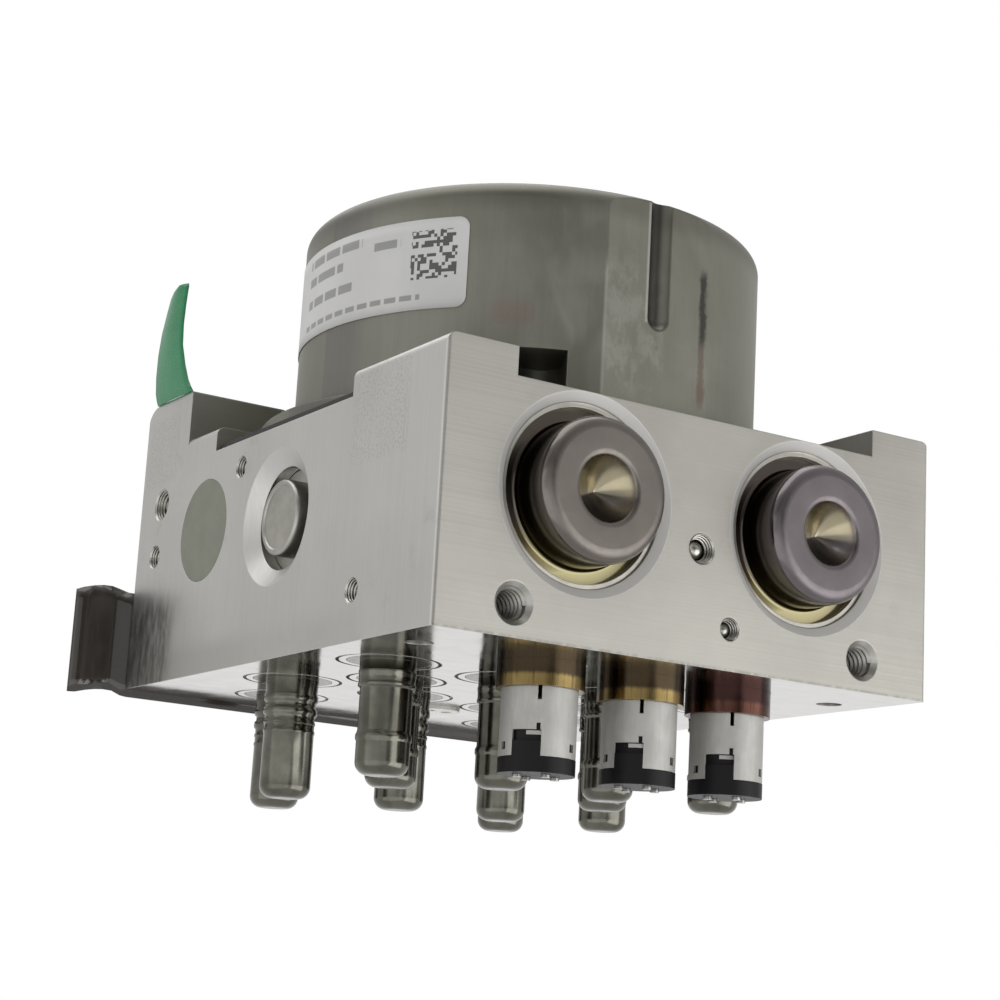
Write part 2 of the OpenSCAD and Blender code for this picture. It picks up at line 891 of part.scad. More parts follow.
module pump_piston(side) {
    color("#dcdcda") mirror_side(side) translate([0, 0, pump_z]) along_x()
        bore(piston_r, piston_rest, piston_rest + piston_l);
}

module pump_springs() {
    room = sleeve_x + sleeve_l - sleeve_wall - piston_rest - piston_l;
    color("#9fa3a6") for (side = [-1, 1]) mirror_side(side)
        translate([piston_rest + piston_l, 0, pump_z]) along_x()
            coil_spring(pump_coil_r, pump_wire, room, 4);
}

// Accumulators

module accumulator_frame(side) {
    translate([side * accumulator_x, -front_reach, accumulator_z]) along_front() children();
}

// Half-section of the drawn cap: axis upright, front face of the block at zero
module cap_section() {
    difference() {
        union() {
            translate([0, -mouth_d]) square([mouth_bore_r - seat_gap, cap_t]);
            translate([0, -mouth_d]) square([cup_r, mouth_d + cup_out - cup_round]);
            square([cup_r - cup_round, cup_out]);
            translate([cup_r - cup_round, cup_out - cup_round]) circle(r = cup_round);
        }
        translate([-overrun, -mouth_d - overrun])
            square([cup_r - cap_t + overrun, mouth_d + cup_out - cap_t - dimple_d + overrun]);
        translate([dimple_r, -mouth_d - overrun])
            square([cup_r - cap_t - dimple_r, mouth_d + cup_out - cap_t + overrun]);
        translate([-cup_r, -mouth_d - 2 * overrun]) square([cup_r, 3 * mouth_d + cup_out]);
    }
}

module accumulator_cap(side) {
    color("#8b8784") accumulator_frame(side) difference() {
        rotate_extrude($fn = 64) cap_section();
        translate([0, 0, cup_out - dimple_d])
            cylinder(r1 = 0, r2 = dimple_r, h = dimple_d);
        translate([0, 0, cup_out]) cylinder(r = dimple_r, h = overrun);
    }
}

module accumulator_piston(side) {
    color("#b9b9b4") accumulator_frame(side) translate([0, 0, -accumulator_d + 2 * seat_gap])
        difference() {
            cylinder(r = accumulator_r - running_gap, h = acc_piston_l);
            translate([0, 0, acc_piston_l / 2])
                cylinder(r = acc_coil_r + acc_wire, h = acc_piston_l);
        }
}

module accumulator_springs() {
    from = -accumulator_d + 2 * seat_gap + acc_piston_l / 2;
    to = cup_out - cap_t;
    color("#8d9093") for (side = [-1, 1]) accumulator_frame(side)
        translate([0, 0, from]) coil_spring(acc_coil_r, acc_wire, to - from, 5);
}

module retaining_rings() {
    color("#b5b2a4") for (side = [-1, 1]) accumulator_frame(side)
        tube(mouth_bore_r + snap_r - running_gap, mouth_bore_r - snap_r,
            -snap_y + running_gap, -snap_y + 2 * snap_r - running_gap);
}

// Sensors

module sensor_frame(i) {
    translate([sensor_xs[i], -front_reach + sensor_y, 0]) rotate([0, 0, sensor_turns[i]])
        children();
}

module sensor_body(i) {
    color("#7a6234") sensor_frame(i) difference() {
        union() {
            bore(collar_r, -collar_h, collar_sink);
            bore(sensor_shank_r, -overrun, sensor_shank_h);
        }
        bore(sensor_bore_r, 0, sensor_shank_h + overrun);
    }
}

// A box that cuts the sleeve's wall at an angle round the sensor
module wall_cut(angle, w, low, high) {
    rotate([0, 0, angle]) translate([0, -w / 2, low])
        cube([sensor_sleeve_r + overrun, w, high - low]);
}

module sensor_sleeve(i) {
    color("#b7b6ae") sensor_frame(i) difference() {
        tube(sensor_sleeve_r, sensor_sleeve_r - sensor_wall, -sensor_low, -collar_h);
        wall_cut(tongue_angle, tongue_w + 2 * seat_gap, -sensor_low - overrun,
            -sensor_low + window_h);
        wall_cut(slit_angle, slit_w, -collar_h - slit_h, -collar_h + overrun);
        wall_cut(slit_angle, slit_w, -sensor_low + window_h / 2,
            -sensor_low + window_h + overrun);
        for (turn = [-1, 1])
            wall_cut(slit_angle + turn * peep_angle, peep_size, -sensor_low + overrun,
                -sensor_low + overrun + peep_size);
    }
}

module sensor_plug(i) {
    core_r_in = sensor_sleeve_r - sensor_wall - seat_gap;
    color("#26262c") sensor_frame(i) {
        bore(sensor_sleeve_r + seat_gap, -sensor_low - sensor_rim_h, -sensor_low);
        bore(core_r_in, -sensor_low, -collar_h - slit_h);
        intersection() {
            wall_cut(tongue_angle, tongue_w, -sensor_low - overrun, -sensor_low + tongue_h);
            bore(sensor_sleeve_r + seat_gap, -sensor_low - overrun, 0);
        }
    }
}

module sensor_contacts() {
    color("#c8c6b8") for (i = [0:2]) sensor_frame(i) for (turn = [0:90:270])
        rotate([0, 0, tongue_angle + turn + 45]) translate([contact_reach, 0, 0])
            bore(contact_r, -sensor_low - sensor_rim_h - contact_h, -sensor_low - sensor_rim_h);
}

// Valves

// Half-section of a valve's fixed cartridge and dome; z is the second axis
module dome_section(reach, collar_end, ring_end, ring_h) {
    difference() {
        union() {
            square([valve_flange_r, valve_flange_h]);
            square([valve_body_r, valve_body_h]);
            square([valve_nose_r, valve_nose_h]);
            translate([0, -collar_end]) square([collar_step_r, collar_end]);
            translate([0, -ring_end]) square([dome_r + rib, ring_h]);
            translate([0, -reach + dome_round]) square([dome_r, reach]);
            translate([0, -reach]) square([dome_r - dome_round, reach]);
            translate([dome_r - dome_round, -reach + dome_round]) circle(r = dome_round, $fn = 32);
        }
        translate([0, -reach + dome_wall]) square([dome_in, reach - dome_wall + valve_seat_z]);
        square([valve_orifice_r, valve_nose_h + overrun]);
        translate([-dome_r, -reach - overrun]) square([dome_r, 3 * reach]);
    }
}

module short_valve_domes() {
    color("#55534d") for (place = short_places) translate(place)
        rotate_extrude($fn = 48)
            dome_section(short_dome_l, short_collar_h, short_ring_h + short_ring_d, short_ring_d);
}

module long_valve_domes() {
    color("#55534d") for (place = long_places) translate(place)
        rotate_extrude($fn = 48)
            dome_section(long_dome_l, long_collar_h, long_ring_h, short_ring_d);
}

module valve_plunger(i) {
    place = valve_places[i - 1];
    color("#8d8d8a") translate(place) {
        bore(dome_in - running_gap, armature_low, armature_top);
        bore(needle_r, armature_top - overrun, needle_top - valve_lift);
    }
}

module valve_springs() {
    color("#a2a5a8") for (place = valve_places) translate(place)
        translate([0, 0, armature_top])
            coil_spring(valve_coil_r, valve_wire, valve_seat_z - armature_top, 4);
}

// Films

// Green film on the ridge, its left end turned up as a pull tab
module green_film() {
    film_l = block_w - 2 * film_margin;
    film_y = rear_reach - ridge_round - green_film_w;
    color("#4f9a74") difference() {
        translate([-block_w / 2, film_y, ridge_h]) {
            cube([film_l, green_film_w, film_t]);
            rotate([0, 0, 90]) along_front() linear_extrude(height = film_t) difference() {
                square([green_film_w, green_tab_l]);
                translate([green_film_w, green_tab_l]) rotate(45)
                    square(tab_round, center = true);
                translate([0, green_tab_l]) rotate(45) square(2 * tab_round, center = true);
            }
        }
        translate([0, 0, ridge_h - overrun]) linear_extrude(height = film_t + 2 * overrun)
            relief_2d();
    }
}

// Brown film along the rear face's lower edge, its left end free as a creased pull tab
module brown_film() {
    film_l = block_w - film_margin;
    bend = crease_share * brown_tab_l;
    left = -block_w / 2;
    color("#4b423b") translate([0, 0, brown_low]) linear_extrude(height = brown_film_w)
        polygon([
            [left + film_l, rear_reach],
            [left, rear_reach],
            [left - bend, rear_reach + crease_rise],
            [left - brown_tab_l, rear_reach],
            [left - brown_tab_l, rear_reach + film_t],
            [left - bend, rear_reach + crease_rise + film_t],
            [left, rear_reach + film_t],
            [left + film_l, rear_reach + film_t]
        ]);
}

valve_block();
ball_plugs();
vent_disc();
motor_can();
motor_end_plate();
motor_gasket();
motor_magnets();
rotor_core();
rotor_windings();
commutator();
motor_shaft();
eccentric();
eccentric_ring();
shaft_bearings();
brush_carrier();
brushes();
motor_screws();
motor_connector();
motor_pins();
motor_label();
pump_plug(-1);  // pump_plug_left
pump_plug(1);  // pump_plug_right
pump_sleeve(-1);  // pump_sleeve_left
pump_sleeve(1);  // pump_sleeve_right
pump_piston(-1);  // pump_piston_left
pump_piston(1);  // pump_piston_right
pump_springs();
accumulator_cap(-1);  // accumulator_cap_left
accumulator_cap(1);  // accumulator_cap_right
accumulator_piston(-1);  // accumulator_piston_left
accumulator_piston(1);  // accumulator_piston_right
accumulator_springs();
retaining_rings();
sensor_body(0);  // sensor_body_left
sensor_body(1);  // sensor_body_middle
sensor_body(2);  // sensor_body_right
sensor_sleeve(0);  // sensor_sleeve_left
sensor_sleeve(1);  // sensor_sleeve_middle
sensor_sleeve(2);  // sensor_sleeve_right
sensor_plug(0);  // sensor_plug_left
sensor_plug(1);  // sensor_plug_middle
sensor_plug(2);  // sensor_plug_right
sensor_contacts();
green_film();
brown_film();
short_valve_domes();
long_valve_domes();
valve_springs();
valve_plunger(1);  // valve_plunger_1
valve_plunger(2);  // valve_plunger_2
valve_plunger(3);  // valve_plunger_3
valve_plunger(4);  // valve_plunger_4
valve_plunger(5);  // valve_plunger_5
valve_plunger(6);  // valve_plunger_6
valve_plunger(7);  // valve_plunger_7
valve_plunger(8);  // valve_plunger_8
valve_plunger(9);  // valve_plunger_9
valve_plunger(10);  // valve_plunger_10
valve_plunger(11);  // valve_plunger_11
valve_plunger(12);  // valve_plunger_12
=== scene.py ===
"""Looks of the hydraulic unit of an anti-lock brake module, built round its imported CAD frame.

Lengths are in metres in the CAD frame: the origin lies on the block's lower face under the motor's
axis, -Y is the front face with the two accumulators, and -X is the left face.
"""

import json
import math

import bmesh
import bpy
from mathutils import Matrix, Vector


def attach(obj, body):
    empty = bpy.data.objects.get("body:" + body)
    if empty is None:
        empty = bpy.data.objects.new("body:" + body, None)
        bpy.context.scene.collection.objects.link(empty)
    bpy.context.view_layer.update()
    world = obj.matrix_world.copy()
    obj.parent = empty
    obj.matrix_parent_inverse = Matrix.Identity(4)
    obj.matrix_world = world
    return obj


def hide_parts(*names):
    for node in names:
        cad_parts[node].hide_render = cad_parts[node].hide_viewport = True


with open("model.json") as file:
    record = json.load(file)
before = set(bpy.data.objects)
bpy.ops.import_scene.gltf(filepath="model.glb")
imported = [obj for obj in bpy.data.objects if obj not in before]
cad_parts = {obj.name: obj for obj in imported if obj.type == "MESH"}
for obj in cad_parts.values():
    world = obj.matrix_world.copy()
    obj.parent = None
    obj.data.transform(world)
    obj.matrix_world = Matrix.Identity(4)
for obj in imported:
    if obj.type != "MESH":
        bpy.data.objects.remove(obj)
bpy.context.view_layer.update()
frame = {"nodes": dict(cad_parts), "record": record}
nodes = frame["nodes"]

MM = 0.001
FULL_TURN = 2 * math.pi


# Camera: it stands in front, to the left and a little below, and is rolled slightly

camera_place = Vector((-199.74, -312.76, -49.60)) * MM
camera_azimuth = math.radians(-32.046)
camera_rise = math.radians(12.590)
camera_roll = math.radians(3.209)
camera_lens = 80.088


def make_camera():
    data = bpy.data.cameras.new("camera")
    data.lens = camera_lens
    data.sensor_width = 36
    data.clip_start = 0.01
    data.clip_end = 20
    camera = bpy.data.objects.new("camera", data)
    bpy.context.scene.collection.objects.link(camera)
    level = math.cos(camera_rise)
    forward = Vector((
        -math.sin(camera_azimuth) * level,
        math.cos(camera_azimuth) * level,
        math.sin(camera_rise),
    ))
    turn = forward.to_track_quat("-Z", "Y").to_matrix().to_4x4()
    camera.matrix_world = Matrix.Translation(camera_place) @ turn @ Matrix.Rotation(camera_roll, 4, "Z")
    bpy.context.scene.camera = camera


# Shapes, all in millimetres

def arc(middle_r, middle_z, radius, start, end, steps=8):
    """Points of an arc in a half-section, by angle in degrees."""
    turns = [math.radians(start + (end - start) * i / steps) for i in range(steps + 1)]
    return [(middle_r + radius * math.cos(a), middle_z + radius * math.sin(a)) for a in turns]


def lathe(section, segments=96):
    """Points and faces of a half-section turned about its axis. A point on the axis is one vertex."""
    points, rings, faces = [], [], []
    for r, z in section:
        first = len(points)
        if r < 1e-6:
            points.append((0, 0, z))
            rings.append([first] * segments)
        else:
            for i in range(segments):
                a = FULL_TURN * i / segments
                points.append((r * math.cos(a), r * math.sin(a), z))
            rings.append(list(range(first, first + segments)))
    for low, high in zip(rings, rings[1:]):
        for i in range(segments):
            j = (i + 1) % segments
            corners = [low[i], low[j], high[j], high[i]]
            faces.append(tuple(dict.fromkeys(corners)))
    return points, [f for f in faces if len(f) > 2]


def placed(shape, turn, place):
    """A shape whose points went through turn, then moved to place."""
    points, faces = shape
    moved = [tuple(a + b for a, b in zip(turn(*p), place)) for p in points]
    return moved, faces


def upright(x, y, z):
    return x, y, z


def to_front(x, y, z):
    """Turns +Z to the front, -Y."""
    return x, -z, y


def to_side(side):
    """Turns +Z to the left (-1) or the right (1)."""
    return lambda x, y, z: (side * z, y, -side * x)


def joined(shapes):
    """Several shapes as one."""
    points, faces = [], []
    for some_points, some_faces in shapes:
        first = len(points)
        points += some_points
        faces += [tuple(first + i for i in f) for f in some_faces]
    return points, faces


def grid(rows):
    """Faces over rows of points, all of one length."""
    width = len(rows[0])
    points = [p for row in rows for p in row]
    faces = []
    for i in range(len(rows) - 1):
        for j in range(width - 1):
            k = i * width + j
            faces.append((k, k + 1, k + width + 1, k + width))
    return points, faces


def add_piece(name, shape, finish, body="root", stands_for=(), sharp=32):
    """A piece from a shape in millimetres; edges bent by more than sharp, in degrees, stay sharp."""
    points, faces = shape
    mesh = bpy.data.meshes.new(name)
    mesh.from_pydata([tuple(c * MM for c in p) for p in points], [], faces)
    mesh.validate()
    work = bmesh.new()
    work.from_mesh(mesh)
    bmesh.ops.recalc_face_normals(work, faces=work.faces)
    work.to_mesh(mesh)
    work.free()
    mesh.shade_smooth()
    mesh.set_sharp_from_angle(angle=math.radians(sharp))
    mesh.materials.append(finish)
    made = bpy.data.objects.new(name, mesh)
    bpy.context.scene.collection.objects.link(made)
    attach(made, body)
    if stands_for:
        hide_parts(*stands_for)
    return made


def thicken(piece, depth):
    """Gives a sheet its thickness, half of it on each side."""
    solid = piece.modifiers.new("thickness", "SOLIDIFY")
    solid.thickness = depth * MM
    solid.offset = 0


# Sizes of the CAD that the detailed pieces share

HALF_W = 46.0
FRONT = 51.0
RIDGE_TOP = 51.0
PUMP_Z = 23.1
CUP_X, CUP_Z = 21.0, 22.75
MOUTH_IN, MOUTH_OUT = 14.0, 15.45
CAN_R, CAN_Z = 39.3, 39.4
# Millimetres of label that one unit of its map covers
LABEL_MAP = 100
RELIEF_R, RELIEF_FLAT = 46.0, 39.96
BRACKET_X, BRACKET_Z = 32.6, 5.0
# x of each sensor, and the turn of its window in degrees
SENSORS = ((-15.9, -3), (2.8, -3), (20.0, 0))
SENSOR_Y = -33.5
SENSOR_LOW = -14.5
# x and y of each valve dome
SHORT_PLACES = ((-32, -15), (-10.3, -15), (10.3, -15), (32, -15), (-21, 1.5), (21, 1.5))
LONG_PLACES = ((-32, 17), (-10.3, 17), (10.3, 17), (32, 17), (-23.5, 37.5), (23.5, 37.5))
# Place on the face, y or x and then z, and radius of each ball plug
SIDE_PLUGS = ((45.3, 32.1, 2.9), (46.5, 22.8, 2.1), (13.9, 33.6, 1.9), (-27.2, 7.8, 1.95))
FRONT_PLUGS = ((0.4, 17.9, 2.4), (6.2, 6.4, 1.8))


def cartridge(tip, wall):
    """Half-section of a valve: dome outside, cartridge in the block, bore inside."""
    inside = [(3.45, 12.8), (0.9, 12.8), (0.9, 8.0), (3.5, 8.0)]
    inside += arc(2.6, -tip + 1.6, 0.9, 0, -90, 5) + [(0, -tip + 0.7)]
    seat = [(6.5, 0.0), (6.5, 3.0), (4.95, 3.0), (4.95, 9.0), (3.45, 9.0)]
    return [(0, -tip)] + arc(4.2 - 2.0, -tip + 2.0, 2.0, -90, 0) + wall + seat + inside


def add_domes(finish):
    """Valve domes with the beads and grooves of their outer walls."""
    short_wall = [
        (4.2, -12.6), (4.22, -12.4), (4.38, -12.1), (4.38, -11.5), (4.2, -11.1), (4.12, -10.8),
        (4.12, -4.3), (4.3, -4.15), (4.5, -3.95), (4.5, -3.6), (4.42, -3.5), (4.42, -2.2),
        (4.5, -2.1), (4.5, -1.6), (4.42, -1.5), (4.42, 0.0),
    ]
    long_wall = [
        (4.16, -9.0), (4.26, -8.9), (4.26, -8.5), (4.14, -8.3), (4.14, -7.5), (4.26, -7.4),
        (4.26, -7.0), (4.14, -6.8), (4.14, -6.1), (4.42, -5.8), (4.46, -5.4), (4.42, -4.9),
        (4.12, -4.6), (4.12, -3.9), (4.44, -3.6), (4.48, -3.1), (4.44, -2.6), (4.3, -2.3), (4.42, 0.0),
    ]
    for name, places, tip, wall in (
        ("short_valve_domes", SHORT_PLACES, 17.6, short_wall),
        ("long_valve_domes", LONG_PLACES, 19.6, long_wall),
    ):
        shapes = [placed(lathe(cartridge(tip, wall), 64), upright, (x, y, 0)) for x, y in places]
        add_piece(name + "_turned", joined(shapes), finish["dome"], stands_for=(name,), sharp=50)


def add_caps(finish):
    """Deep-drawn accumulator caps: a soft cone dimple, a round shoulder and a coved foot."""
    section = [(0, 1.72), (0.25, 1.85), (5.0, 5.05)] + arc(5.9, 4.3, 1.4, 130, 90, 6)
    section += [(8.9, 5.7)] + arc(8.9, 3.7, 2.0, 90, 0, 10)
    section += arc(11.6, -2.0, 0.7, 180, 270, 6) + [(13.85, -2.7), (13.85, -3.9), (9.7, -3.9)]
    section += arc(8.9, 3.7, 0.8, 0, 90, 4) + [(6.6, 4.5), (4.8, 3.6), (0, 0.5)]
    for side, name in ((-1, "accumulator_cap_left"), (1, "accumulator_cap_right")):
        shape = placed(lathe(section, 128), to_front, (side * CUP_X, -FRONT, CUP_Z))
        look = finish["cap"] if side < 0 else finish["cap_right"]
        add_piece(name + "_drawn", shape, look, stands_for=(name,), sharp=60)


def add_pump_plugs(finish):
    """Pressed-in pump plugs, a disc with a rounded and slightly raised rim in the middle."""
    section = [(0, -0.84), (5.1, -0.84), (5.3, -0.62), (5.6, -0.6)] + arc(5.6, -1.2, 0.6, 90, 0, 6)
    section += [(6.2, -4.0), (8.3, -4.0), (8.3, -15.0), (2.5, -15.0), (2.5, -10.0), (0, -10.0)]
    for side, name in ((-1, "pump_plug_left"), (1, "pump_plug_right")):
        shape = placed(lathe(section, 96), to_side(side), (side * HALF_W, 0, PUMP_Z))
        add_piece(name + "_turned", shape, finish["plug"], stands_for=(name,), sharp=40)


def ball_plug(r):
    """A ball in its hole, with the stepped rings that pressing it in has left in front of it."""
    ball_r = 0.66 * r
    depth = -0.95 - ball_r
    ball = lathe(arc(0, depth, ball_r, -90, 90, 20), 40)
    steps = [
        (r - 0.01, -0.02), (0.95 * r, -0.18), (0.90 * r, -0.24), (0.90 * r, -0.5), (0.83 * r, -0.58),
        (0.83 * r, -0.86), (0.75 * r, -0.94), (0.75 * r, -1.3), (0.67 * r, -1.4), (0.67 * r, 2 * depth),
        (0, 2 * depth),
    ]
    return joined([ball, lathe(steps, 40)])


def add_ball_plugs(finish):
    shapes = []
    for side in (-1, 1):
        for y, z, r in SIDE_PLUGS:
            shapes.append(placed(ball_plug(r), to_side(side), (side * HALF_W, y, z)))
    for x, z, r in FRONT_PLUGS:
        shapes.append(placed(ball_plug(r), to_front, (x, -FRONT, z)))
    add_piece("ball_plugs_staked", joined(shapes), finish["ball"],
              stands_for=("ball_plugs",), sharp=35)


def add_threads(finish):
    """Thread ridges on the bores of the two bracket holes."""
    pitch, turns, steps, root, crest = 1.0, 12, 48, 2.49, 2.1
    for side, name in ((-1, "thread_left"), (1, "thread_right")):
        rows = []
        for i in range(turns * steps + 1):
            a = FULL_TURN * i / steps
            low = -0.7 - pitch * i / steps
            ridge = (
                (root, low), (crest, low - 0.4 * pitch), (crest, low - 0.6 * pitch), (root, low - pitch),
            )
            rows.append([(r * math.cos(a), r * math.sin(a), z) for r, z in ridge])
        shape = placed(grid(rows), to_front, (side * BRACKET_X, -FRONT, BRACKET_Z))
        add_piece(name, shape, finish["block"], sharp=20)


def add_sensor_strips(finish):
    """The bright end of a contact at the top of each sensor's window."""
    r, start, span, steps = 5.42, -139, 27, 8
    shapes = []
    for x, turn in SENSORS:
        rows = []
        for z in (SENSOR_LOW + 3.15, SENSOR_LOW + 3.75):
            row = []
            for i in range(steps + 1):
                a = math.radians(start + turn + span * i / steps)
                row.append((x + r * math.cos(a), SENSOR_Y + r * math.sin(a), z))
            rows.append(row)
        shapes.append(grid(rows))
    add_piece("sensor_strips", joined(shapes), finish["pin"])


def add_label(finish):
    """A label with round corners. Its map runs from its front end and its lower edge."""
    r, low, height, corner = CAN_R + 0.12, CAN_Z + 16.0, 15.0, 1.8
    start, span = 222.5, 81.0
    length = math.radians(span) * r
    stops = sorted(
        [corner * (1 - math.cos(math.radians(9 * i))) for i in range(11)]
        + [length - corner * (1 - math.cos(math.radians(9 * i))) for i in range(11)]
        + [corner + (length - 2 * corner) * i / 90 for i in range(1, 90)]
    )
    rows, marks = [], []
    for s in stops:
        inset = max(corner - s, corner - (length - s), 0)
        cut = corner - math.sqrt(max(corner ** 2 - inset ** 2, 0))
        a = math.radians(start) - s / r
        row = []
        for j in range(9):
            t = cut + (height - 2 * cut) * j / 8
            row.append((r * math.cos(a), r * math.sin(a), low + t))
            marks.append((s / LABEL_MAP, t / LABEL_MAP))
        rows.append(row)
    points, faces = grid(rows)
    label = add_piece("motor_label_round", (points, faces), finish["label"],
                      stands_for=("motor_label",))
    layer = label.data.uv_layers.new(name="label_map")
    for loop in label.data.loops:
        layer.data[loop.index].uv = marks[loop.vertex_index]
    thicken(label, 0.1)


def film_front(x):
    """How far forward the green film reaches on the ridge: it is cut clear of the can."""
    relief = math.sqrt(max(RELIEF_R ** 2 - x ** 2, 0))
    return max(36.5, min(relief, RELIEF_FLAT))


def add_green_film(finish):
    """The film on the ridge, and its end that stands up as a slightly bowed, tapering pull tab."""
    length, steps, film_rear, lift = 88, 88, 50.5, 0.12
    tab_low, tab_height = 51.1, 21.2
    rows = []
    for i in range(steps + 1):
        x = -HALF_W + length * i / steps
        front = film_front(x)
        rows.append([(x, front + (film_rear - front) * j / 8, RIDGE_TOP + lift) for j in range(9)])
    edges = (
        (51.1, 50.5, 35.9), (52.2, 51.1, 36.9), (53.5, 51.5, 37.9), (56.5, 51.5, 39.3), (60.5, 51.1, 40.8),
        (64.5, 50.4, 41.3), (68.2, 49.4, 41.5), (70.9, 48.7, 41.6), (71.7, 48.1, 41.6), (72.3, 46.0, 41.8),
    )
    tab = []
    for z, rear, front in edges:
        up = (z - tab_low) / tab_height
        row = []
        for j in range(9):
            across = j / 8
            bow = 0.7 * math.sin(math.pi * across) * (0.3 + 0.7 * up) + 0.6 * math.sin(math.pi * up)
            row.append((-HALF_W - 0.15 - bow, rear + (front - rear) * across, z))
        tab.append(row)
    piece = add_piece("green_film_soft", joined([grid(rows), grid(tab)]), finish["green_film"],
                      stands_for=("green_film",), sharp=60)
    thicken(piece, 0.2)


def add_brown_film(finish):
    """The film on the rear face, and its free end with a fold beside the block and a curled edge."""
    stops = (
        (44.0, 17.5, -1.5, 54.62), (0.0, 17.5, -1.5, 54.62), (-45.6, 17.3, -1.3, 54.62),
        (-46.6, 17.4, -1.1, 55.1), (-47.8, 18.0, -0.3, 56.2), (-49.3, 18.4, -0.2, 56.5),
        (-51.3, 18.2, -0.5, 55.6), (-53.2, 17.8, -0.9, 55.1), (-55.0, 17.3, -1.4, 55.3),
        (-56.2, 16.8, -1.4, 55.9),
    )
    rows = [[(x, y, low + (top - low) * j / 8) for j in range(9)] for x, top, low, y in stops]
    piece = add_piece("brown_film_soft", grid(rows), finish["brown_film"],
                      stands_for=("brown_film",), sharp=60)
    thicken(piece, 0.2)


def add_details(finish):
    add_domes(finish)
    add_caps(finish)
    add_pump_plugs(finish)
    add_ball_plugs(finish)
    add_threads(finish)
    add_sensor_strips(finish)
    add_label(finish)
    add_green_film(finish)
    add_brown_film(finish)


# Node graphs

class Graph:
    """A material's node tree, with the few nodes that the finishes are made of."""

    def __init__(self, name):
        self.material = bpy.data.materials.new(name)
        self.material.use_nodes = True
        self.tree = self.material.node_tree
        self.tree.nodes.clear()
        self.output = self.node("ShaderNodeOutputMaterial")
        self.coords = self.node("ShaderNodeTexCoord")
        self.mm = self.scaled((1 / MM, 1 / MM, 1 / MM))

    def node(self, kind, **settings):
        made = self.tree.nodes.new(kind)
        for key, value in settings.items():
            setattr(made, key, value)
        return made

    def put(self, socket, value):
        """Links a socket to another, or sets its own value."""
        if isinstance(value, bpy.types.NodeSocket):
            self.tree.links.new(value, socket)
        elif isinstance(value, tuple) and len(value) == 3 and len(socket.default_value) == 4:
            socket.default_value = (*value, 1)
        elif socket.type == "RGBA" and not isinstance(value, tuple):
            socket.default_value = (value, value, value, 1)
        else:
            socket.default_value = value

    def scaled(self, scale, vector=None, place=(0, 0, 0)):
        mapping = self.node("ShaderNodeMapping")
        self.put(mapping.inputs["Vector"], self.coords.outputs["Object"] if vector is None else vector)
        mapping.inputs["Scale"].default_value = scale
        mapping.inputs["Location"].default_value = place
        return mapping.outputs["Vector"]

    def noise(self, scale=1.0, stretch=(1, 1, 1), detail=4.0, rough=0.55, warp=0.0, shift=0.0):
        """Noise in millimetres: scale is cycles for each one, and stretch multiplies the axes."""
        source = self.scaled(stretch, self.mm, (shift, shift / 2, -shift))
        made = self.node("ShaderNodeTexNoise")
        self.put(made.inputs["Vector"], source)
        made.inputs["Scale"].default_value = scale
        made.inputs["Detail"].default_value = detail
        made.inputs["Roughness"].default_value = rough
        made.inputs["Distortion"].default_value = warp
        return made.outputs["Fac"]

    def maths(self, operation, a, b=0.0):
        made = self.node("ShaderNodeMath", operation=operation)
        self.put(made.inputs[0], a)
        self.put(made.inputs[1], b)
        return made.outputs[0]

    def remap(self, value, low, high, out_low=0.0, out_high=1.0, smooth=True):
        made = self.node("ShaderNodeMapRange", interpolation_type="SMOOTHSTEP" if smooth else "LINEAR")
        for name, number in (("Value", value), ("From Min", low), ("From Max", high),
                             ("To Min", out_low), ("To Max", out_high)):
            self.put(made.inputs[name], number)
        return made.outputs["Result"]

    def mix(self, share, a, b):
        made = self.node("ShaderNodeMix", data_type="RGBA")
        self.put(made.inputs["Factor"], share)
        self.put(made.inputs[6], a)
        self.put(made.inputs[7], b)
        return made.outputs[2]

    def axes(self, vector):
        made = self.node("ShaderNodeSeparateXYZ")
        self.put(made.inputs[0], vector)
        return made.outputs[0], made.outputs[1], made.outputs[2]

    def facing(self):
        """How far the surface faces X, Y and Z, each from 0 to 1."""
        return [self.maths("ABSOLUTE", a) for a in self.axes(self.coords.outputs["Normal"])]

    def band(self, value, low, high, soft):
        """1 between low and high, fading over soft."""
        rise = self.remap(value, low - soft, low + soft)
        fall = self.remap(value, high - soft, high + soft, 1.0, 0.0)
        return self.maths("MULTIPLY", rise, fall)

    def region(self, soft, **spans):
        """1 inside the spans of x, y or z, which are in millimetres and fade over soft."""
        made = None
        for value, name in zip(self.axes(self.mm), "xyz"):
            if name in spans:
                inside = self.band(value, *spans[name], soft)
                made = inside if made is None else self.maths("MULTIPLY", made, inside)
        return made

    def angle(self):
        """Degrees round the motor's axis, from -180 to 180."""
        x, y, _ = self.axes(self.mm)
        return self.maths("MULTIPLY", self.maths("ARCTAN2", y, x), 360 / FULL_TURN)

    def off_axis(self, a, b, centre_a, centre_b):
        """Distance from an axis, given the two coordinates across it."""
        da, db = self.maths("SUBTRACT", a, centre_a), self.maths("SUBTRACT", b, centre_b)
        squares = self.maths("ADD", self.maths("MULTIPLY", da, da), self.maths("MULTIPLY", db, db))
        return self.maths("SQRT", squares)

    def over(self, color, mask, share, other):
        """Lays another colour over a colour, where the mask is 1 and by the share."""
        return self.mix(self.maths("MULTIPLY", mask, share), color, other)

    def bump(self, height, depth, strength=1.0, normal=None):
        """Depth is in millimetres."""
        made = self.node("ShaderNodeBump")
        self.put(made.inputs["Height"], height)
        made.inputs["Distance"].default_value = depth * MM
        made.inputs["Strength"].default_value = strength
        if normal is not None:
            self.put(made.inputs["Normal"], normal)
        return made.outputs["Normal"]

    def round_edges(self, radius):
        made = self.node("ShaderNodeBevel", samples=6)
        made.inputs["Radius"].default_value = radius * MM
        return made.outputs["Normal"]

